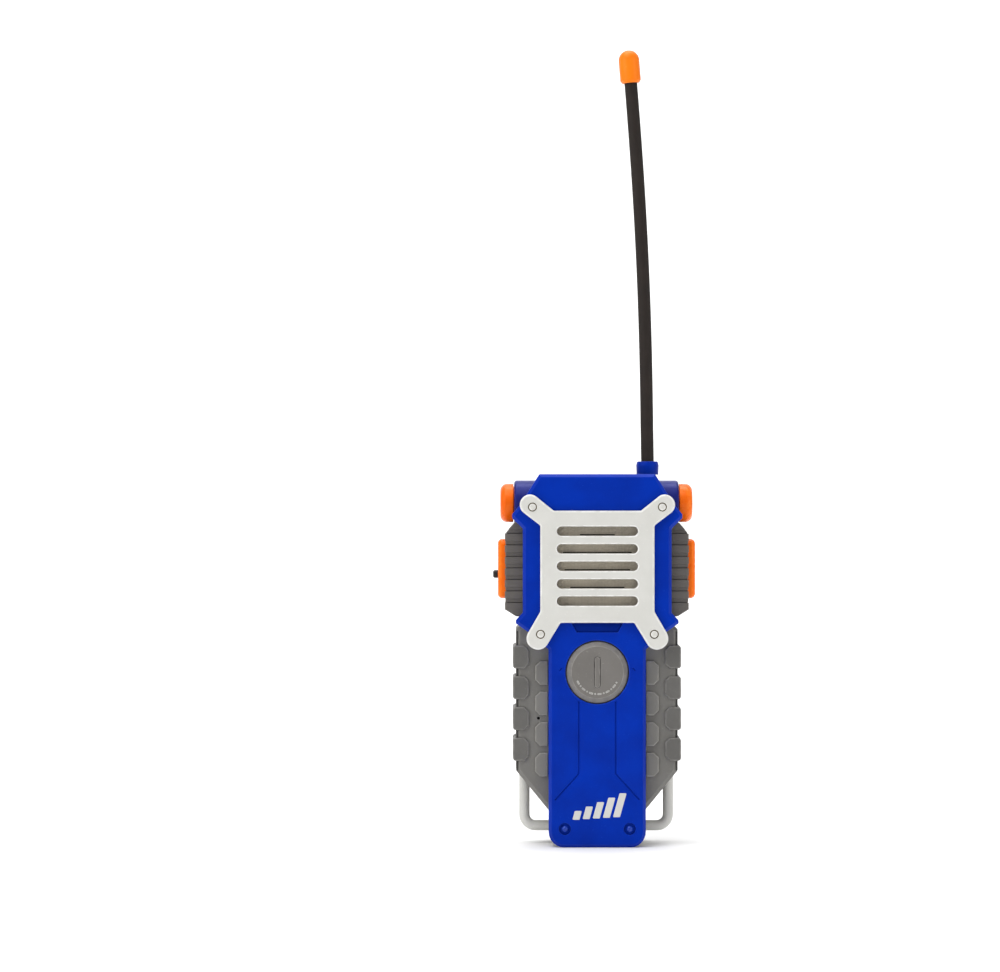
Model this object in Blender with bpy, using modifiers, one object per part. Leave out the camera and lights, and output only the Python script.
"""Toy walkie talkie: a hand-held radio toy, built as the separate pieces that it comes apart into.

Frame: X to the right seen from the front, the front faces -Y, +Z up, and the origin is on the table
under the middle of the foot. The sizes below are millimetres, and the helpers turn them into metres.
An outline is a list of (x, z) points, and the pieces that mirror left to right give only the right half.
"""

from math import cos, pi, radians, sin

import bmesh
import bpy
from mathutils import Matrix, Vector

MM = 0.001
GAP = 0.3  # room between two pieces that touch
WALL = 2.0

# Depths, front to back
GRILLE_FRONT = -18.5
COVER_FRONT = -16.5
PAD_FRONT = -12.0
GRIP_FRONT = -11.0
PARTING = 2.0  # the plane between the front and rear shells
BACK = 19.0

# Heights and half-widths of the casing
TOP = 144.0
GRIP_HALF = 31.3
PAD_HALF = 32.5
HEAD_HALF = 28.7
TONGUE_HALF = 18.6
FOOT_CORNER = 5.0

# The cross-bar behind the head
BAR_Z = 132.8
BAR_RADIUS = 8.8
BAR_HALF = 32.0
BAR_BORE = 6.8
CAP_RADIUS = 7.5
CAP_END = 37.4

# The speaker and its grille
SPEAKER_Z = 108.5
SPEAKER_RADIUS = 20.0
SLOT_HEIGHTS = (122.0, 115.2, 108.5, 101.7, 95.1)
SLOT_LENGTH = 31.2
SLOT_RADIUS = 1.8
GRILLE_THICK = 1.7

# The side grips and what sits in their windows
GRIP_OUT = 35.6
BUTTON_OUT = 38.3
BUTTON_LOW = 95.8
BUTTON_HIGH = 118.8
BUTTON_DEPTH = 6.0  # half of the button, front to back
SWITCH_Z = 107.3  # the height of the talk and power switches
SLIDER_Z = 105.4
SLIDER_TRAVEL = 3.5
TALK_TRAVEL = 2.2

# The Morse button
MORSE_Z = 67.6
MORSE_RADIUS = 11.8
MORSE_TRAVEL = 1.5

# The circuit board and the battery
BOARD_FRONT = 3.0
BOARD_THICK = 1.6
BOARD_HALF = 19.0
BOARD_LOW = 64.0
BOARD_HIGH = 122.0
BATTERY_SIZE = (26.5, 17.0, 46.0)
BATTERY_LOW = 12.4

# The carry loop
LOOP_RADIUS = 1.95
LOOP_X = 28.0
LOOP_Z = 7.0
LOOP_TOP = 33.5

# The antenna
ANTENNA_X = 20.0
ANTENNA_RADIUS = 2.35
COLLAR_RADIUS = 4.4
COLLAR_TOP = 149.0
TIP_RADIUS = 4.05

# Screws that close the casing: (x, z)
CASE_SCREWS = ((24.3, 40.0), (24.3, 78.5))
SCREW_RADIUS = 1.2

# The belt clip on the back
CLIP_HALF = 9.7
CLIP_AXIS_Y = 23.2
CLIP_AXIS_Z = 121.0
PIN_RADIUS = 1.0

# The battery door
DOOR_HALF = 16.0
DOOR_LOW = 7.0
DOOR_HIGH = 66.0
DOOR_THICK = 1.8
DOOR_SCREW_Z = 61.5


def clear_scene():
    for obj in list(bpy.data.objects):
        bpy.data.objects.remove(obj, do_unlink=True)


def new_collection(name):
    made = bpy.data.collections.new(name)
    bpy.context.scene.collection.children.link(made)
    return made


clear_scene()
PARTS = new_collection("toy_walkie_talkie")
CUTTERS = new_collection("cutters")
CUTTERS.hide_render = True


def plastic(name, colour, roughness, metallic=0.0):
    """A material with the part's linear colour."""
    made = bpy.data.materials.new(name)
    made.use_nodes = True
    shader = made.node_tree.nodes["Principled BSDF"]
    shader.inputs["Base Color"].default_value = (*colour, 1.0)
    shader.inputs["Roughness"].default_value = roughness
    shader.inputs["Metallic"].default_value = metallic
    return made


HEAD_BLUE = plastic("head_blue", (0.003, 0.028, 0.30), 0.38)
BAR_BLUE = plastic("bar_blue", (0.018, 0.03, 0.26), 0.35)
CASE_GREY = plastic("case_grey", (0.14, 0.135, 0.125), 0.55)
BUTTON_GREY = plastic("button_grey", (0.18, 0.165, 0.145), 0.5)
OFF_WHITE = plastic("off_white", (0.66, 0.65, 0.61), 0.4)
ORANGE = plastic("orange", (0.95, 0.17, 0.008), 0.35)
RUBBER_BLACK = plastic("rubber_black", (0.02, 0.018, 0.016), 0.6)
SWITCH_BLACK = plastic("switch_black", (0.015, 0.015, 0.015), 0.45)
STEEL = plastic("steel", (0.55, 0.55, 0.56), 0.3, 1.0)
CLOTH_TAN = plastic("cloth_tan", (0.36, 0.34, 0.29), 0.9)
BOARD_GREEN = plastic("board_green", (0.02, 0.12, 0.035), 0.5)
PAPER_BLACK = plastic("paper_black", (0.02, 0.02, 0.02), 0.85)
WIRE_RED = plastic("wire_red", (0.5, 0.01, 0.01), 0.45)
WIRE_BLACK = plastic("wire_black", (0.02, 0.02, 0.02), 0.45)
COPPER = plastic("copper", (0.75, 0.26, 0.09), 0.3, 1.0)

# Turns that carry a shape's own +Z to the axis named, for turned shapes and flat outlines
ALONG = {
    "X": Matrix(((0, 0, 1), (1, 0, 0), (0, 1, 0))).to_4x4(),
    "Y": Matrix(((1, 0, 0), (0, 0, -1), (0, 1, 0))).to_4x4(),
    "Z": Matrix.Identity(4),
}


def place(obj, name, material, where=(0, 0, 0)):
    """Names the object, gives it its material and puts its origin at a point in millimetres."""
    obj.name = name
    obj.data.name = name
    if material is None:
        obj.hide_render = True
        obj.display_type = "WIRE"
        CUTTERS.objects.link(obj)
    else:
        obj.data.materials.clear()
        obj.data.materials.append(material)
        PARTS.objects.link(obj)
    obj.location = Vector(where) * MM
    return obj


def smooth(obj, angle=35):
    obj.data.shade_smooth()
    obj.data.set_sharp_from_angle(angle=radians(angle))
    return obj


def mesh_from(bm, name, material, where=(0, 0, 0)):
    """An object from a bmesh whose points are millimetres about the given point."""
    bmesh.ops.scale(bm, vec=(MM, MM, MM), verts=bm.verts)
    mesh = bpy.data.meshes.new(name)
    bm.to_mesh(mesh)
    bm.free()
    return place(bpy.data.objects.new(name, mesh), name, material, where)


def block(name, x, y, z, material=None, edge=0.0):
    """A box between the limits given for each axis, with its edges bevelled where edge is set."""
    bm = bmesh.new()
    bmesh.ops.create_cube(bm, size=1)
    spans = [high - low for low, high in (x, y, z)]
    bmesh.ops.scale(bm, vec=spans, verts=bm.verts)
    middle = [(low + high) / 2 for low, high in (x, y, z)]
    if edge:
        bmesh.ops.bevel(bm, geom=bm.edges, offset=edge, segments=1, affect="EDGES")
    return mesh_from(bm, name, material, middle)


def rod(name, radius, low, high, centre, axis="Y", material=None, sides=16):
    """A cylinder along an axis, from low to high; centre gives the other two coordinates in order."""
    bm = bmesh.new()
    length = high - low
    bmesh.ops.create_cone(
        bm, cap_ends=True, segments=sides, radius1=radius, radius2=radius, depth=length
    )
    bmesh.ops.transform(bm, matrix=ALONG[axis], verts=bm.verts)
    where = list(centre)
    where.insert("XYZ".index(axis), (low + high) / 2)
    made = mesh_from(bm, name, material, where)
    return smooth(made) if material else made


def turned(name, profile, centre, axis="Y", material=None, sides=32, closed=False):
    """Turns a profile of (radius, place along the axis) about the axis, its points listed from the far
    end to the near one so that the surface faces out; closed joins the last point to the first.
    Centre gives the other two coordinates in order."""
    bm = bmesh.new()
    points = [bm.verts.new((radius, 0, along)) for radius, along in profile]
    pairs = list(zip(points, points[1:]))
    if closed:
        pairs.append((points[-1], points[0]))
    for pair in pairs:
        bm.edges.new(pair)
    where = list(centre)
    where.insert("XYZ".index(axis), 0.0)
    obj = mesh_from(bm, name, material, where)
    obj.matrix_world = Matrix.Translation(obj.location) @ turn_about(axis)
    screw = obj.modifiers.new("turn", "SCREW")
    screw.steps = screw.render_steps = sides
    screw.use_merge_vertices = True
    screw.merge_threshold = 0.00001
    screw.use_smooth_shade = True
    return obj


def turn_about(axis):
    """The turn that carries +Z to the axis; for Y it keeps growing values of the profile towards +Y."""
    if axis == "X":
        return ALONG["X"]
    if axis == "Y":
        return Matrix.Rotation(-pi / 2, 4, "X")
    return Matrix.Identity(4)


def mirrored(half):
    """The whole outline from its right half, listed from the bottom up."""
    return list(half) + [(-x, z) for x, z in reversed(half) if abs(x) > 1e-6]


def arc(x, z, radius, start, end, steps):
    """Points on an arc about (x, z), from one angle to the other in degrees."""
    angles = [radians(start + (end - start) * i / steps) for i in range(steps + 1)]
    return [(x + radius * cos(a), z + radius * sin(a)) for a in angles]


def prism(name, outline, low, high, axis="Y", material=None):
    """A flat outline filled and extruded along an axis from low to high. The outline is (x, z) for Y,
    (y, z) for X and (x, y) for Z."""
    curve = bpy.data.curves.new(name, "CURVE")
    curve.dimensions = "2D"
    curve.fill_mode = "BOTH"
    curve.extrude = (high - low) / 2 * MM
    spline = curve.splines.new("POLY")
    spline.points.add(len(outline) - 1)
    for point, (across, up) in zip(spline.points, outline):
        point.co = (across * MM, up * MM, 0, 1)
    spline.use_cyclic_u = True
    source = bpy.data.objects.new(name, curve)
    bpy.context.scene.collection.objects.link(source)
    graph = bpy.context.evaluated_depsgraph_get()
    mesh = bpy.data.meshes.new_from_object(source.evaluated_get(graph))
    bpy.data.objects.remove(source, do_unlink=True)
    bpy.data.curves.remove(curve)
    bm = bmesh.new()
    bm.from_mesh(mesh)
    bpy.data.meshes.remove(mesh)
    bmesh.ops.remove_doubles(bm, verts=bm.verts, dist=1e-6)
    bmesh.ops.dissolve_limit(bm, angle_limit=radians(0.5), verts=bm.verts, edges=bm.edges)
    bmesh.ops.transform(bm, matrix=ALONG[axis], verts=bm.verts)
    bmesh.ops.recalc_face_normals(bm, faces=bm.faces)
    bmesh.ops.scale(bm, vec=(1 / MM,) * 3, verts=bm.verts)
    where = [0.0, 0.0, 0.0]
    where["XYZ".index(axis)] = (low + high) / 2
    return mesh_from(bm, name, material, where)


def chamfer(obj, width, segments=1, **at):
    """Cuts the edges whose two ends both lie at the given coordinates, such as y=-17."""
    bm = bmesh.new()
    bm.from_mesh(obj.data)

    def lies(vert):
        point = (vert.co + obj.location) / MM
        return all(abs(getattr(point, axis) - value) < 0.01 for axis, value in at.items())

    edges = [edge for edge in bm.edges if all(lies(vert) for vert in edge.verts)]
    bmesh.ops.bevel(bm, geom=edges, offset=width * MM, segments=segments, affect="EDGES")
    bm.to_mesh(obj.data)
    bm.free()
    return obj


def shell(name, outline, closed_y, open_y, wall, chamfer, material):
    """Half a casing: the outline as a cup with its floor at closed_y, open at open_y, with its edge
    chamfered round the floor and a wall grown inwards."""
    bm = bmesh.new()
    rim = [bm.verts.new((x, open_y, z)) for x, z in outline]
    face = bm.faces.new(rim)
    made = bmesh.ops.extrude_face_region(bm, geom=[face])
    moved = [v for v in made["geom"] if isinstance(v, bmesh.types.BMVert)]
    bmesh.ops.translate(bm, verts=moved, vec=(0, closed_y - open_y, 0))
    at_rim = [f for f in bm.faces if all(abs(v.co.y - open_y) < 0.01 for v in f.verts)]
    bmesh.ops.delete(bm, geom=at_rim, context="FACES_ONLY")
    edges = [e for e in bm.edges if all(abs(v.co.y - closed_y) < 0.01 for v in e.verts)]
    bmesh.ops.bevel(bm, geom=edges, offset=chamfer, segments=1, affect="EDGES")
    floor = max(bm.faces, key=lambda f: f.calc_area())
    bmesh.ops.recalc_face_normals(bm, faces=bm.faces)
    if floor.normal.y * (closed_y - open_y) < 0:
        bmesh.ops.reverse_faces(bm, faces=bm.faces)
    obj = mesh_from(bm, name, material)
    thick = obj.modifiers.new("wall", "SOLIDIFY")
    thick.thickness = wall * MM
    thick.offset = -1
    thick.use_even_offset = True
    return obj


def tube(name, points, radius, material=None, resolution=2):
    """A round bar or wire through the points, with closed ends."""
    curve = bpy.data.curves.new(name, "CURVE")
    curve.dimensions = "3D"
    curve.bevel_depth = radius * MM
    curve.bevel_resolution = resolution
    curve.use_fill_caps = True
    spline = curve.splines.new("POLY")
    spline.points.add(len(points) - 1)
    for point, where in zip(spline.points, points):
        point.co = (*(Vector(where) * MM), 1)
    spline.use_smooth = True
    if material:
        return place(bpy.data.objects.new(name, curve), name, material)
    source = bpy.data.objects.new(name, curve)
    bpy.context.scene.collection.objects.link(source)
    graph = bpy.context.evaluated_depsgraph_get()
    mesh = bpy.data.meshes.new_from_object(source.evaluated_get(graph))
    bpy.data.objects.remove(source, do_unlink=True)
    bm = bmesh.new()
    bm.from_mesh(mesh)
    bmesh.ops.remove_doubles(bm, verts=bm.verts, dist=1e-6)
    bmesh.ops.recalc_face_normals(bm, faces=bm.faces)
    bmesh.ops.scale(bm, vec=(1 / MM,) * 3, verts=bm.verts)
    return mesh_from(bm, name, None)


def cut(target, *cutters):
    boolean(target, cutters, "DIFFERENCE")


def join(target, *others):
    boolean(target, others, "UNION")


HARD_TO_CUT = ("head_cover", "rear_shell")  # the exact solver loses faces of these


def boolean(target, others, operation):
    for other in others:
        made = target.modifiers.new(other.name, "BOOLEAN")
        made.operation = operation
        made.object = other
        if target.name in HARD_TO_CUT:
            made.solver = "MANIFOLD"


SIDES = ((-1, "left"), (1, "right"))


# ---------------------------------------------------------------- outlines

def case_half():
    """The right half of the casing: foot, chamfer up to the grip, and the head, just inside the cover."""
    foot = TONGUE_HALF - 0.5
    return [
        *arc(foot - FOOT_CORNER, FOOT_CORNER, FOOT_CORNER, -90, 0, 4),
        (foot, 13.2),
        (GRIP_HALF, 29.3),
        (GRIP_HALF, 84.0),
        (HEAD_HALF - 0.5, 87.0),
        (HEAD_HALF - 0.5, 130.5),
        (26.0, 136.8),
        (21.8, TOP - 0.5),
    ]


def cover_half():
    """The right half of the blue cover: the tongue from its rounded foot corner up to the shoulder, then
    the head with its flared ears."""
    return [
        *arc(TONGUE_HALF - FOOT_CORNER, FOOT_CORNER, FOOT_CORNER, -90, 0, 5),
        (TONGUE_HALF, 76.4),
        (26.7, 83.2),
        (31.4, 86.4),
        (31.4, 87.6),
        (HEAD_HALF, 90.5),
        (HEAD_HALF, 123.0),
        (32.8, 127.0),
        (32.8, 128.5),
        (29.9, 132.0),
        (26.7, 137.0),
        (22.3, TOP),
    ]


def slot_outline(x, z, half_length, radius, steps=6):
    """A level slot with round ends."""
    right = arc(x + half_length - radius, z, radius, -90, 90, steps)
    return right + arc(x - half_length + radius, z, radius, 90, 270, steps)


def octagon(x, z, corner):
    """A rectangle between two x and two z limits with its corners cut."""
    (x0, x1), (z0, z1) = x, z
    return [
        (x0 + corner, z0), (x1 - corner, z0), (x1, z0 + corner), (x1, z1 - corner),
        (x1 - corner, z1), (x0 + corner, z1), (x0, z1 - corner), (x0, z0 + corner),
    ]


# ---------------------------------------------------------------- casing

CHAMFER = 1.4
SIDE_PADS = [73.3 - 11.9 * i for i in range(4)]
INNER_PADS = [67.15 - 11.82 * i for i in range(4)]
PAD_TALL = 4.45
BOSS_RADIUS = 2.8
SCREW_TIP = -6.0


def loop_path():
    """The carry loop's centre line: up one arm, and across under the foot to the other."""
    bend = 3.2
    left = arc(-LOOP_X + bend, LOOP_Z + bend, bend, 180, 270, 5)
    right = arc(LOOP_X - bend, LOOP_Z + bend, bend, 270, 360, 5)
    points = [(-LOOP_X, LOOP_TOP), (-LOOP_X, 22.0), *left, (0, LOOP_Z), *right, (LOOP_X, 22.0)]
    return [(x, PARTING, z) for x, z in [*points, (LOOP_X, LOOP_TOP)]]


def side_pad(side, z, front, back, name):
    """An L-shaped finger pad that wraps round the edge of the grip, its inner corners cut."""
    inner = 26.3
    depth = 2.4 if front < back else -2.4
    corner = [
        (inner, front), (PAD_HALF, front), (PAD_HALF, back),
        (PAD_HALF - 2.4, back), (PAD_HALF - 2.4, front + depth), (inner, front + depth),
    ]
    outline = [(side * x, y) for x, y in corner]
    made = prism(name, outline, z - PAD_TALL, z + PAD_TALL, "Z")
    chamfer(made, 1.8, x=side * inner, z=z + PAD_TALL)
    chamfer(made, 1.8, x=side * inner, z=z - PAD_TALL)
    chamfer(made, 0.7, x=side * PAD_HALF, z=z + PAD_TALL)
    chamfer(made, 0.7, x=side * PAD_HALF, z=z - PAD_TALL)
    return made


def inner_pad_outline():
    """A finger pad beside the tongue, square against it and with its outer corners cut."""
    root, out, corner, tall = TONGUE_HALF + GAP, 23.9, 1.9, 4.6
    return [(root, -tall), (out - corner, -tall), (out, corner - tall), (out, tall - corner),
            (out - corner, tall), (root, tall)]


def shared_cutters():
    """What both halves of the casing are cut by: the cross-bar, the carry loop, the antenna and the
    openings in the sides."""
    bar = rod("bar_seat", BAR_RADIUS + GAP, -40, 40, (PARTING, BAR_Z), "X", sides=32)
    loop = tube("loop_seat", loop_path(), LOOP_RADIUS + GAP)
    antenna = rod("antenna_hole", ANTENNA_RADIUS + GAP, TOP - 8, TOP + 3, (ANTENNA_X, PARTING), "Z")
    talk = block("talk_opening", (24, 34), (-3.6, 3.0), (SWITCH_Z - 4.6, SWITCH_Z + 4.6))
    slide = block(
        "slider_opening", (-34, -24), (-2.2, 2.2), (SLIDER_Z - 2.2, SLIDER_Z + SLIDER_TRAVEL + 2.2)
    )
    return bar, loop, antenna, talk, slide


SHARED = shared_cutters()


def front_shell():
    made = shell(
        "front_shell", mirrored(case_half()), GRIP_FRONT, PARTING - GAP / 2, WALL, CHAMFER, CASE_GREY
    )
    for side, hand in SIDES:
        for i, z in enumerate(SIDE_PADS):
            join(made, side_pad(side, z, PAD_FRONT, PARTING - 0.9, f"pad_{hand}_{i}"))
        for i, z in enumerate(INNER_PADS):
            outline = [(side * x, z + rise) for x, rise in inner_pad_outline()]
            join(made, prism(f"inner_pad_{hand}_{i}", outline, PAD_FRONT, GRIP_FRONT + 1.0))
        for i, (x, z) in enumerate(CASE_SCREWS):
            where = (side * x, z)
            join(made, rod(f"boss_{hand}_{i}", BOSS_RADIUS, -10, PARTING - 0.3, where, sides=12))
        join(made, rod(f"board_boss_{hand}", 2.2, -10, BOARD_FRONT - GAP, (side * 16, 88), sides=12))
    cut(made, *SHARED)
    for side, hand in SIDES:
        for i, (x, z) in enumerate(CASE_SCREWS):
            hole = SCREW_RADIUS + GAP
            cut(made, rod(f"screw_hole_{hand}_{i}", hole, SCREW_TIP - 1, 5, (side * x, z), sides=12))
        cut(made, rod(f"board_hole_{hand}", 1.1, -4.5, 5, (side * 16, 88), sides=12))
        cut(made, rod(f"rivet_hole_{hand}", 1.3, -14, -5, (side * RIVET_X, RIVET_Z), sides=12))
    cut(made, rod("speaker_hole", 17.0, -14, -6, (0, SPEAKER_Z), sides=32))
    cut(made, rod("morse_hole", 3.5, -14, -6, (0, MORSE_Z), sides=16))
    cut(made, rod("mic_hole", 0.6, -14, -6, (-22.6, 49.6), sides=10))
    return smooth(made)


def rear_shell():
    made = shell(
        "rear_shell", mirrored(case_half()), BACK, PARTING + GAP / 2, WALL, CHAMFER * 1.6, CASE_GREY
    )
    for side, hand in SIDES:
        for i, z in enumerate(SIDE_PADS):
            pad = block(
                f"rear_pad_{hand}_{i}",
                sorted((side * 30.0, side * PAD_HALF)),
                (PARTING + 0.9, 15.0),
                (z - PAD_TALL, z + PAD_TALL),
            )
            join(made, chamfer(pad, 1.2, y=15.0, x=side * PAD_HALF))
        for i, (x, z) in enumerate(CASE_SCREWS):
            where = (side * x, z)
            join(made, rod(f"rear_boss_{hand}_{i}", 4.2, PARTING + 0.3, BACK - 1, where, sides=16))
        lug = prism(f"lug_{hand}", lug_outline(), *sorted((side * 10.2, side * 13.0)), "X")
        join(made, lug)
        join(made, block(f"cell_rib_{hand}", sorted((side * 13.7, side * 18.5)), (8, 18), (17, 30)))
    tab_top = DOOR_HIGH + 4.0
    join(made, block("door_tab", (-5, 5), (13.5, BACK - DOOR_THICK - GAP), (58.8, tab_top)))
    join(made, block("door_tab_root", (-4.9, 4.9), (13.6, BACK - 1), (DOOR_HIGH + 0.6, tab_top - 0.1)))
    cut(made, *SHARED)
    for side, hand in SIDES:
        for i, (x, z) in enumerate(CASE_SCREWS):
            where = (side * x, z)
            cut(made, rod(f"rear_hole_{hand}_{i}", SCREW_RADIUS + GAP, 0, 30, where, sides=12))
            cut(made, rod(f"head_hole_{hand}_{i}", 2.9, 7.0, 30, where, sides=16))
    cut(made, rod("tab_hole", 1.9, 10, 17.5, (0, DOOR_SCREW_Z), sides=16))
    door = octagon((-DOOR_HALF - GAP, DOOR_HALF + GAP), (DOOR_LOW - GAP, DOOR_HIGH + GAP), 0.8)
    cut(made, prism("door_opening", door, BACK - DOOR_THICK - GAP + 0.05, BACK + 3))
    cut(made, rod("clip_pin_hole", PIN_RADIUS + GAP, -20, 20, (CLIP_AXIS_Y, CLIP_AXIS_Z), "X", sides=12))
    return smooth(made)


def lug_outline():
    """A lug that stands out from the back and carries the clip's pin, as (y, z)."""
    tip = arc(CLIP_AXIS_Y, CLIP_AXIS_Z, 2.6, -70, 70, 6)
    return [(BACK - 1, CLIP_AXIS_Z - 5), *tip, (BACK - 1, CLIP_AXIS_Z + 5)]


def battery_door():
    z = (DOOR_LOW, DOOR_HIGH)
    outline = octagon((-DOOR_HALF, DOOR_HALF), z, 0.8)
    made = prism("battery_door", outline, BACK - DOOR_THICK, BACK, material=CASE_GREY)
    chamfer(made, 0.4, y=BACK)
    cut(made, rod("door_screw_hole", SCREW_RADIUS + GAP, 10, 30, (0, DOOR_SCREW_Z), sides=12))
    cut(made, rod("door_head_hole", 2.7, BACK - 0.9, 30, (0, DOOR_SCREW_Z), sides=16))
    for i in range(5):
        groove = block(f"thumb_groove_{i}", (-7, 7), (BACK - 0.5, 30), (20.0 + 3 * i, 21.2 + 3 * i))
        cut(made, groove)
    return smooth(made)


# ---------------------------------------------------------------- head cover and grille

PIN_PLACES = {"top": (25.0, 131.3), "bottom": (21.9, 82.3)}
PIN_HEAD = 1.4
PIN_SHAFT = 1.0
RIVET_X = 12.5
RIVET_Z = 7.2
COVER_WALL = 1.8
COVER_BACK = GRIP_FRONT - GAP
LINE_DEPTH = 0.5


def groove(name, start, end, front, width=0.7):
    """A shallow straight groove cut into a front face, from one (x, z) point to the other."""
    run = Vector(end) - Vector(start)
    side = Vector((-run.y, run.x)).normalized() * width / 2
    corners = [Vector(start) - side, Vector(end) - side, Vector(end) + side, Vector(start) + side]
    return prism(name, [tuple(c) for c in corners], front - 1, front + LINE_DEPTH)


def head_cover():
    outline = mirrored(cover_half())
    head = shell("head_cover", outline, COVER_FRONT, COVER_BACK, COVER_WALL, 1.3, HEAD_BLUE)
    for side, hand in SIDES:
        for level, (x, z) in PIN_PLACES.items():
            hole = rod(f"pin_hole_{level}_{hand}", PIN_SHAFT + GAP, -22, -12, (side * x, z), sides=12)
            cut(head, hole)
        rivet = (side * RIVET_X, RIVET_Z)
        cut(head, rod(f"rivet_seat_{hand}", 2.2, -20, COVER_FRONT + 0.9, rivet, sides=16))
        cut(head, rod(f"rivet_bore_{hand}", PIN_SHAFT + GAP, -20, -10, rivet, sides=12))
        lines = (
            ((side * 7.1, 56.5), (side * 7.1, 28.3)),
            ((side * 7.1, 28.6), (side * 16.6, 18.0)),
            ((side * 13.0, 68.5), (side * 17.2, 71.7)),
        )
        for i, (start, end) in enumerate(lines):
            cut(head, groove(f"line_{hand}_{i}", start, end, COVER_FRONT))
    cut(head, rod("morse_opening", MORSE_RADIUS + 0.45, -20, -13, (0, MORSE_Z), sides=40))
    window = octagon((-17.5, 17.5), (91.0, 126.0), 1.0)
    cut(head, prism("speaker_window", window, COVER_FRONT - 2, -13))
    dip = [(-8.0, 82.9), (8.0, 82.9), (10.5, 87.5), (-10.5, 87.5)]
    cut(head, prism("dip", dip, COVER_FRONT - 2, COVER_FRONT + 0.9))
    return smooth(head)


def grille_half():
    """The right half of the grille plate: a rectangle with a round-ended arm at each corner."""
    return [
        (14.2, 86.7),
        (18.5, 78.9),
        *arc(22.6, 80.5, 4.3, -150, 35, 8),
        (22.0, 91.0),
        (22.0, 124.2),
        *arc(25.8, 132.3, 4.0, -45, 125, 8),
        (16.8, 129.9),
    ]


def speaker_grille():
    back = GRILLE_FRONT + GRILLE_THICK
    made = prism("speaker_grille", mirrored(grille_half()), GRILLE_FRONT, back, material=OFF_WHITE)
    chamfer(made, 0.5, y=GRILLE_FRONT)
    for i, z in enumerate(SLOT_HEIGHTS):
        outline = slot_outline(0, z, SLOT_LENGTH / 2, SLOT_RADIUS)
        cut(made, prism(f"slot_{i}", outline, GRILLE_FRONT - 1, back + 1))
    for side, hand in SIDES:
        for level, (x, z) in PIN_PLACES.items():
            where = (side * x, z)
            name = f"{level}_{hand}"
            cut(made, rod(f"ring_{name}", 1.85, GRILLE_FRONT - 1, GRILLE_FRONT + 0.9, where))
            cut(made, rod(f"arm_hole_{name}", PIN_SHAFT + GAP, -22, -12, where, sides=12))
    return smooth(made)


def grille_pins():
    number = 1
    for level, (x, z) in PIN_PLACES.items():
        for side, _ in SIDES:
            profile = [
                (0, -13.4), (PIN_SHAFT, -13.4), (PIN_SHAFT, GRILLE_FRONT + 0.6),
                (PIN_HEAD, GRILLE_FRONT + 0.6), (PIN_HEAD, GRILLE_FRONT - 0.1), (0, GRILLE_FRONT - 0.1),
            ]
            turned(f"grille_pin_{number}", profile, (side * x, z), material=OFF_WHITE, sides=12)
            number += 1


def cover_rivets():
    front = COVER_FRONT
    profile = [
        (0, -7.5), (PIN_SHAFT, -7.5), (PIN_SHAFT, front + 0.6), (PIN_HEAD, front + 0.6),
        (PIN_HEAD, front - 0.1), (1.0, front - 0.5), (0, front - 0.65),
    ]
    for side, hand in SIDES:
        where = (side * RIVET_X, RIVET_Z)
        turned(f"cover_rivet_{hand}", profile, where, material=HEAD_BLUE, sides=12)


# ---------------------------------------------------------------- cross-bar and side pieces

def crossbar():
    outer = [(BAR_RADIUS, BAR_HALF - 0.8), (BAR_RADIUS, 0.8 - BAR_HALF)]
    ends = [(BAR_RADIUS - 0.8, -BAR_HALF), (BAR_BORE, -BAR_HALF), (BAR_BORE, BAR_HALF)]
    profile = [(BAR_RADIUS - 0.8, BAR_HALF), *outer, *ends]
    made = turned(
        "crossbar_tube", profile, (PARTING, BAR_Z), "X", BAR_BLUE, sides=32, closed=True
    )
    cut(made, rod("bar_antenna_hole", ANTENNA_RADIUS + GAP, BAR_Z, 150, (ANTENNA_X, PARTING), "Z"))
    for side, hand in SIDES:
        inner, outer_end = 25.0, CAP_END
        rim = BAR_HALF + GAP
        spigot = BAR_BORE - GAP
        cap = [
            (0, outer_end), (CAP_RADIUS - 2.4, outer_end), (CAP_RADIUS - 0.8, outer_end - 0.8),
            (CAP_RADIUS, outer_end - 2.4), (CAP_RADIUS, rim), (spigot, rim), (spigot, inner), (0, inner),
        ]
        if side < 0:
            cap = [(r, -x) for r, x in reversed(cap)]
        turned(f"bar_cap_{hand}", cap, (PARTING, BAR_Z), "X", ORANGE, sides=32)


GRIP_RIB = 4.46
GRIP_DEPTH = 10.5  # half of a side grip, front to back


def side_grips():
    for side, hand in SIDES:
        root = HEAD_HALF - 0.5 + GAP
        points = [(root, 89.2), (31.3, 88.9), (GRIP_OUT, 91.6)]
        floor = GRIP_OUT - 0.45
        for rib in range(6):
            z = 94.1 + GRIP_RIB * rib
            points += [(GRIP_OUT, z), (floor, z + 0.3), (floor, z + 1.6), (GRIP_OUT, z + 1.9)]
        points += [(GRIP_OUT, 121.0), (31.8, 125.3), (root, 125.3)]
        outline = [(side * x, z) for x, z in points]
        made = prism(f"side_grip_{hand}", outline, PARTING - 12.0, PARTING + 8.0, material=CASE_GREY)
        low, high = BUTTON_LOW - 0.5, BUTTON_HIGH + 0.5
        depth = BUTTON_DEPTH + 0.5
        window = block(f"grip_window_{hand}", sorted((side * 20, side * 45)), (-depth, depth), (low, high))
        ends = sorted((side * 20, side * 45))
        seat = rod(f"grip_seat_{hand}", BAR_RADIUS + GAP, *ends, (PARTING, BAR_Z), "X", sides=32)
        cut(made, window, seat)
        smooth(made)


def talk_button():
    z = (BUTTON_LOW, BUTTON_HIGH)
    y = (-BUTTON_DEPTH, BUTTON_DEPTH)
    made = block("talk_button", (31.4, BUTTON_OUT), y, z, ORANGE)
    chamfer(made, 1.6, 2, x=BUTTON_OUT)
    join(made, block("talk_stem", (23.9, 32), (-3.0, 2.4), (SWITCH_Z - 4, SWITCH_Z + 4)))
    return smooth(made)


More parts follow.
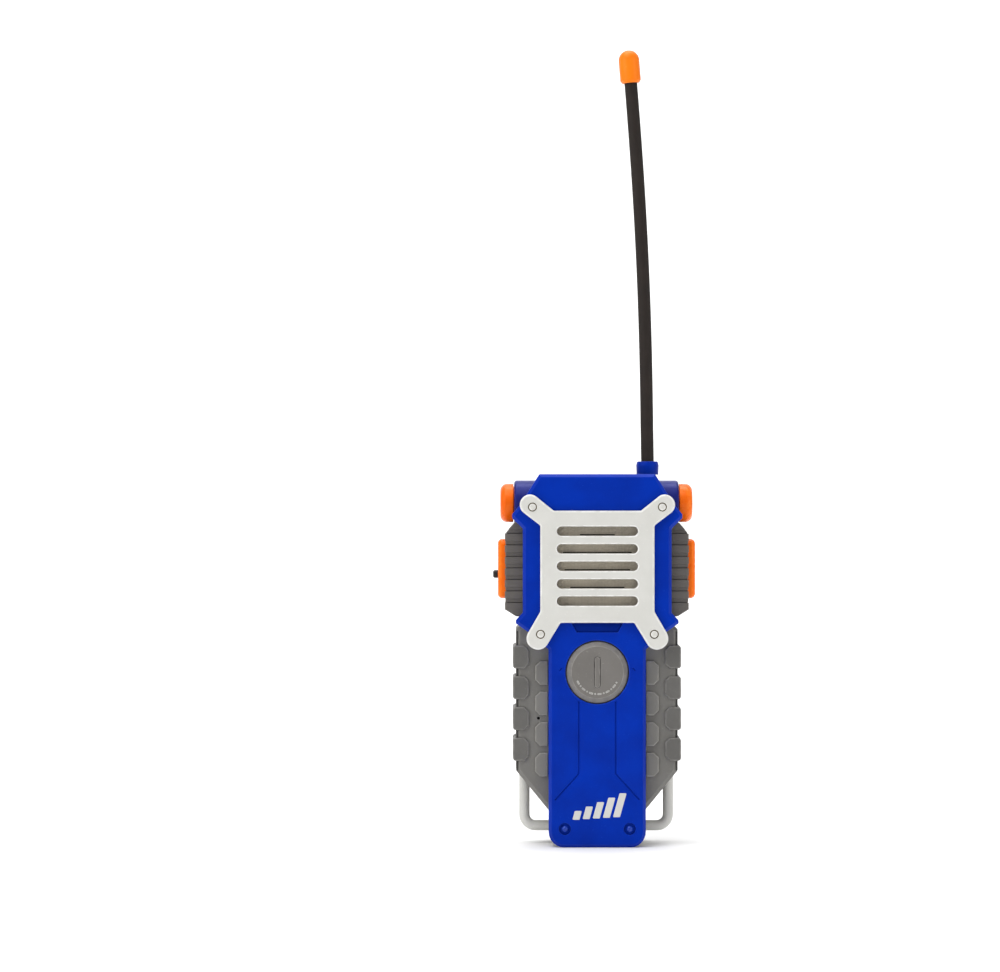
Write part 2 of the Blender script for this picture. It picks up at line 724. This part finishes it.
def switch_plate():
    z = (BUTTON_LOW, BUTTON_HIGH)
    root = HEAD_HALF - 0.5 + GAP
    made = block("switch_plate", (-BUTTON_OUT, -root), (-BUTTON_DEPTH, BUTTON_DEPTH), z, ORANGE)
    chamfer(made, 1.6, 2, x=-BUTTON_OUT)
    slot = (SLIDER_Z - 1.9, SLIDER_Z + SLIDER_TRAVEL + 1.9)
    cut(made, block("plate_slot", (-45, -20), (-1.9, 1.9), slot))
    cut(made, block("plate_dish", (-45, -BUTTON_OUT + 0.6), (-4.2, 4.2), (slot[0] - 1.2, slot[1] + 1.2)))
    return smooth(made)


def power_slider():
    z = (SLIDER_Z - 1.5, SLIDER_Z + 1.5)
    made = block("power_slider", (-40.2, -BUTTON_OUT + 0.3), (-3.6, 3.6), z, SWITCH_BLACK, edge=0.4)
    join(made, block("slider_stem", (-38.5, -18.0), (-1.5, 1.5), (z[0] + 0.1, z[1] - 0.1)))
    return smooth(made)


# ---------------------------------------------------------------- Morse button

def morse_button():
    front = COVER_FRONT - 1.0
    profile = [
        (0, -4.6), (2.9, -4.6), (2.9, -13.3), (13.2, -13.3), (13.2, -14.3), (MORSE_RADIUS, -14.3),
        (MORSE_RADIUS, front + 1.6), (10.1, front), (0, front),
    ]
    made = turned("morse_button", profile, (0, MORSE_Z), material=BUTTON_GREY, sides=40)
    upright = [(z, x) for x, z in slot_outline(0, 0, 6.2, 1.45)]
    slot = prism("morse_slot", [(x, z + MORSE_Z) for x, z in reversed(upright)], front - 1, front + 1.2)
    cut(made, slot)
    return made


# ---------------------------------------------------------------- antenna

def antenna_path():
    """The whip's centre line: straight out of its collar, then one long lazy bend to the left."""
    path = [(ANTENNA_X, PARTING, z) for z in (134.2, 142.0, 150.0)]
    for i in range(1, 13):
        rise = i / 12
        lean = 3.1 * rise + 3.4 * rise * rise - 0.7 * sin(pi * rise)
        path.append((ANTENNA_X - 0.1 - lean, PARTING, 150.0 + 148.0 * rise))
    return path


def antenna():
    inner = ANTENNA_RADIUS + GAP
    low = TOP - 0.5 + GAP
    profile = [
        (COLLAR_RADIUS - 0.5, COLLAR_TOP), (COLLAR_RADIUS, COLLAR_TOP - 0.6),
        (COLLAR_RADIUS, COLLAR_TOP - 1.6), (COLLAR_RADIUS - 0.3, COLLAR_TOP - 2.2),
        (COLLAR_RADIUS - 0.1, low), (inner, low), (inner, COLLAR_TOP),
    ]
    turned(
        "antenna_collar", profile, (ANTENNA_X, PARTING), "Z", HEAD_BLUE, sides=24, closed=True
    )
    tube("antenna_whip", antenna_path(), ANTENNA_RADIUS, RUBBER_BLACK)
    nut = [(3.6, 139.0 - 1.2), (3.6, 134.4), (inner, 134.4), (inner, 139.0 - 1.2)]
    turned("antenna_nut", nut, (ANTENNA_X, PARTING), "Z", STEEL, sides=12, closed=True)


def antenna_tip():
    """The soft cap pushed over the whip's end, turned about the whip's last stretch."""
    end = Vector(antenna_path()[-1])
    before = Vector(antenna_path()[-2])
    lean = (end - before).normalized()
    dome = [(TIP_RADIUS * cos(a), 8.6 + 4.3 * sin(a)) for a in (radians(15 * i) for i in range(6, -1, -1))]
    dome[0] = (0, 12.9)
    hole = ANTENNA_RADIUS + GAP
    skirt = [(TIP_RADIUS, 1.2), (TIP_RADIUS - 0.4, 0.4), (TIP_RADIUS - 0.9, 0)]
    profile = [*dome, *skirt, (hole, 0), (hole, 1.8), (0, 1.8)]
    tip = turned("antenna_tip", profile, (0, 0), "Z", ORANGE, sides=24)
    turn = Vector((0, 0, 1)).rotation_difference(lean).to_matrix().to_4x4()
    tip.matrix_world = Matrix.Translation((end - lean * 1.5) * MM) @ turn
    return tip


# ---------------------------------------------------------------- speaker

def speaker():
    rim = GRIP_FRONT + WALL + GAP  # the front of the flange, behind the shell's face
    where = (0, SPEAKER_Z)
    frame = [
        (10.0, -3.3), (11.2, -3.3), (18.6, rim + 1.2), (SPEAKER_RADIUS, rim + 1.2),
        (SPEAKER_RADIUS, rim), (17.6, rim), (17.2, rim + 1.1), (10.0, -4.4),
    ]
    turned("speaker_frame", frame, where, material=STEEL, sides=24, closed=True)
    magnet = [(0, 1.8), (9.2, 1.8), (9.2, -4.0), (0, -4.0)]
    turned("speaker_magnet", magnet, where, material=STEEL, sides=24)
    cone = [
        (0, -5.2), (3.0, -4.9), (4.8, -4.4), (14.9, rim + 1.1), (15.9, rim + 1.1), (16.8, rim + 0.5),
        (16.4, rim), (14.6, rim + 0.4), (5.0, -5.2), (3.4, -6.0), (0, -6.4),
    ]
    turned("speaker_cone", cone, where, material=PAPER_BLACK, sides=24)
    cloth_front = COVER_FRONT + COVER_WALL + GAP
    sheet = octagon((-20.0, 20.0), (89.0, 127.6), 1.5)
    prism("speaker_cloth", sheet, cloth_front, cloth_front + 0.8, material=CLOTH_TAN)


# ---------------------------------------------------------------- board and what it carries

def circuit_board():
    outline = octagon((-BOARD_HALF, BOARD_HALF), (BOARD_LOW, BOARD_HIGH), 1.0)
    back = BOARD_FRONT + BOARD_THICK
    board = prism("circuit_board", outline, BOARD_FRONT, back, material=BOARD_GREEN)
    for side, hand in SIDES:
        cut(board, rod(f"board_screw_hole_{hand}", 1.3, 0, 8, (side * 16, 88), sides=12))
    for side, hand in SIDES:
        profile = [
            (0, back + GAP + 1.3), (2.1, back + GAP + 1.3), (2.1, back + GAP),
            (0.8, back + GAP), (0.8, -3.5), (0, -3.5),
        ]
        turned(f"board_screw_{hand}", profile, (side * 16, 88), material=STEEL, sides=12)
    face = back + GAP
    block("audio_chip", (-5, 5), (face, face + 2.2), (92, 98), SWITCH_BLACK, edge=0.3)
    block("crystal", (-12.5, -7.5), (face, face + 3.4), (74, 84), STEEL, edge=0.8)
    block("tuning_coil", (6, 13), (face, face + 8.0), (100, 107), STEEL, edge=0.3)
    rod("capacitor", 3.2, face, face + 8.5, (8.5, 80.0), material=SWITCH_BLACK, sides=16)
    ring = [(4.0, face + 6), (4.0, face), (2.2, face), (2.2, face + 6)]
    turned("loading_coil", ring, (-9, 113), material=COPPER, sides=20, closed=True)
    rod("microphone", 3.0, GRIP_FRONT + WALL + GAP, -4.6, (-22.6, 49.6), material=STEEL, sides=20)


def coil_points(radius, low, high, turns):
    """A helix along +Z about the origin."""
    steps = 9 * turns
    return [
        (radius * cos(2 * pi * i / 9), radius * sin(2 * pi * i / 9), low + (high - low) * i / steps)
        for i in range(steps + 1)
    ]


def spring(name, points, turn, where):
    """A wire spring whose helix is turned to its axis and moved to its place."""
    moved = [turn @ Vector(point) + Vector(where) for point in points]
    return tube(name, moved, 0.25, STEEL, resolution=1)


def talk_switch():
    front = BOARD_FRONT - GAP
    body = block("talk_switch", (10.6, 17.4), (-2.7, front), (SWITCH_Z - 3.5, SWITCH_Z + 3.5), SWITCH_BLACK)
    cut(body, rod("talk_socket", 1.5, 11.2, 20, (0, SWITCH_Z), "X", sides=12))
    rod("talk_plunger", 1.2, 14.0, 23.9 - GAP, (0, SWITCH_Z), "X", OFF_WHITE, sides=12)
    turn = turn_about("X").to_3x3()
    spring("talk_spring", coil_points(2.0, 17.9, 23.2, 4), turn, (0, 0, SWITCH_Z))


def morse_switch():
    front = BOARD_FRONT - GAP
    body = block("morse_switch", (-3.2, 3.2), (-0.8, front), (MORSE_Z - 3.2, MORSE_Z + 3.2), SWITCH_BLACK)
    cut(body, rod("morse_socket", 1.5, -3, 2.3, (0, MORSE_Z), sides=12))
    rod("morse_plunger", 1.2, -4.6 + GAP, 0.4, (0, MORSE_Z), material=OFF_WHITE, sides=12)
    turn = turn_about("Y").to_3x3()
    spring("morse_spring", coil_points(2.0, -4.0, -1.2, 3), turn, (0, 0, MORSE_Z))


def power_switch():
    front = BOARD_FRONT - GAP
    z = (SWITCH_Z - 5.0, SWITCH_Z + 5.0)
    block("power_switch", (-17.4, -11.0), (-2.7, front), z, STEEL, edge=0.3)


# ---------------------------------------------------------------- battery

def battery():
    wide, deep, tall = BATTERY_SIZE
    y = (-0.9, deep - 0.9)
    z = (BATTERY_LOW, BATTERY_LOW + tall)
    chamfered = octagon((-wide / 2, wide / 2), y, 1.8)
    made = prism("battery_9v", chamfered, *z, "Z", STEEL)
    snap = block("battery_snap", (-12.5, 12.5), (1.0, 13.0), (z[1] + GAP, z[1] + 2.6), SWITCH_BLACK, 0.6)
    top = z[1] + 2.6 + GAP
    for side, material in ((-1, WIRE_RED), (1, WIRE_BLACK)):
        route = [
            (side * 5, 9.0, top), (side * 5, 9.2, top + 2.0), (side * 5.4, 9.4, top + 4.5),
            (side * 6.2, 8.8, top + 6.8), (side * 6.6, 7.4, top + 8.2), (side * 6.8, 5.6, top + 8.7),
            (side * 6.8, BOARD_FRONT + BOARD_THICK + GAP, top + 8.8),
        ]
        colour = "red" if side < 0 else "black"
        tube(f"battery_lead_{colour}", route, 0.6, material, resolution=1)
    return made, snap


# ---------------------------------------------------------------- fasteners, loop and clip

def case_screws():
    number = 1
    for x, z in CASE_SCREWS:
        for side, _ in SIDES:
            profile = [
                (0, 9.0), (1.6, 9.0), (2.5, 8.2), (2.5, 7.0 + GAP), (SCREW_RADIUS, 7.0 + GAP),
                (SCREW_RADIUS, SCREW_TIP + 0.8), (0, SCREW_TIP),
            ]
            turned(f"case_screw_{number}", profile, (side * x, z), material=STEEL, sides=12)
            number += 1


def door_screw():
    seat = BACK - 0.9 + GAP / 2
    profile = [
        (0, BACK), (2.4, BACK), (2.4, seat), (SCREW_RADIUS, seat), (SCREW_RADIUS, 14.2), (0, 14.0),
    ]
    turned("door_screw", profile, (0, DOOR_SCREW_Z), material=STEEL, sides=12)


def belt_clip():
    """The clip's side profile, as (y, z): a lever over the pin, a long flat blade and a curled lip."""
    y, z = CLIP_AXIS_Y, CLIP_AXIS_Z
    outline = [
        (24.6, z + 13), (26.6, z + 13), (27.0, z + 4), (27.0, 88.0), (26.2, 83.5), (23.6, 80.0),
        (20.6, 80.6), (19.5, 83.0), (20.0, 85.6), (22.0, 85.2), (24.2, 87.6), (24.8, 90.0),
        (24.8, z - 6.0), (y + 0.6, z - 2.7), *arc(y, z, 2.6, -110, -250, 6), (24.8, z + 4.2),
    ]
    made = prism("belt_clip", outline, -CLIP_HALF, CLIP_HALF, "X", CASE_GREY)
    cut(made, rod("clip_bore", PIN_RADIUS + GAP, -20, 20, (y, z), "X", sides=12))
    cut(made, block("clip_spring_room", (-4.2, 4.2), (y - 5, y + 2.9), (z - 3.6, z + 3.6)))
    smooth(made)
    rod("clip_pin", PIN_RADIUS, -13.4, 13.4, (y, z), "X", STEEL, sides=16)
    turn = turn_about("X").to_3x3()
    spring("clip_spring", coil_points(1.65, -3.6, 3.6, 4), turn, (0, y, z))


def carry_loop():
    tube("carry_loop", loop_path(), LOOP_RADIUS, OFF_WHITE)


front_shell()
rear_shell()
battery_door()
door_screw()
head_cover()
speaker_grille()
grille_pins()
cover_rivets()
crossbar()
side_grips()
talk_button()
switch_plate()
power_slider()
morse_button()
antenna()
antenna_tip()
speaker()
circuit_board()
talk_switch()
morse_switch()
power_switch()
battery()
case_screws()
belt_clip()
carry_loop()
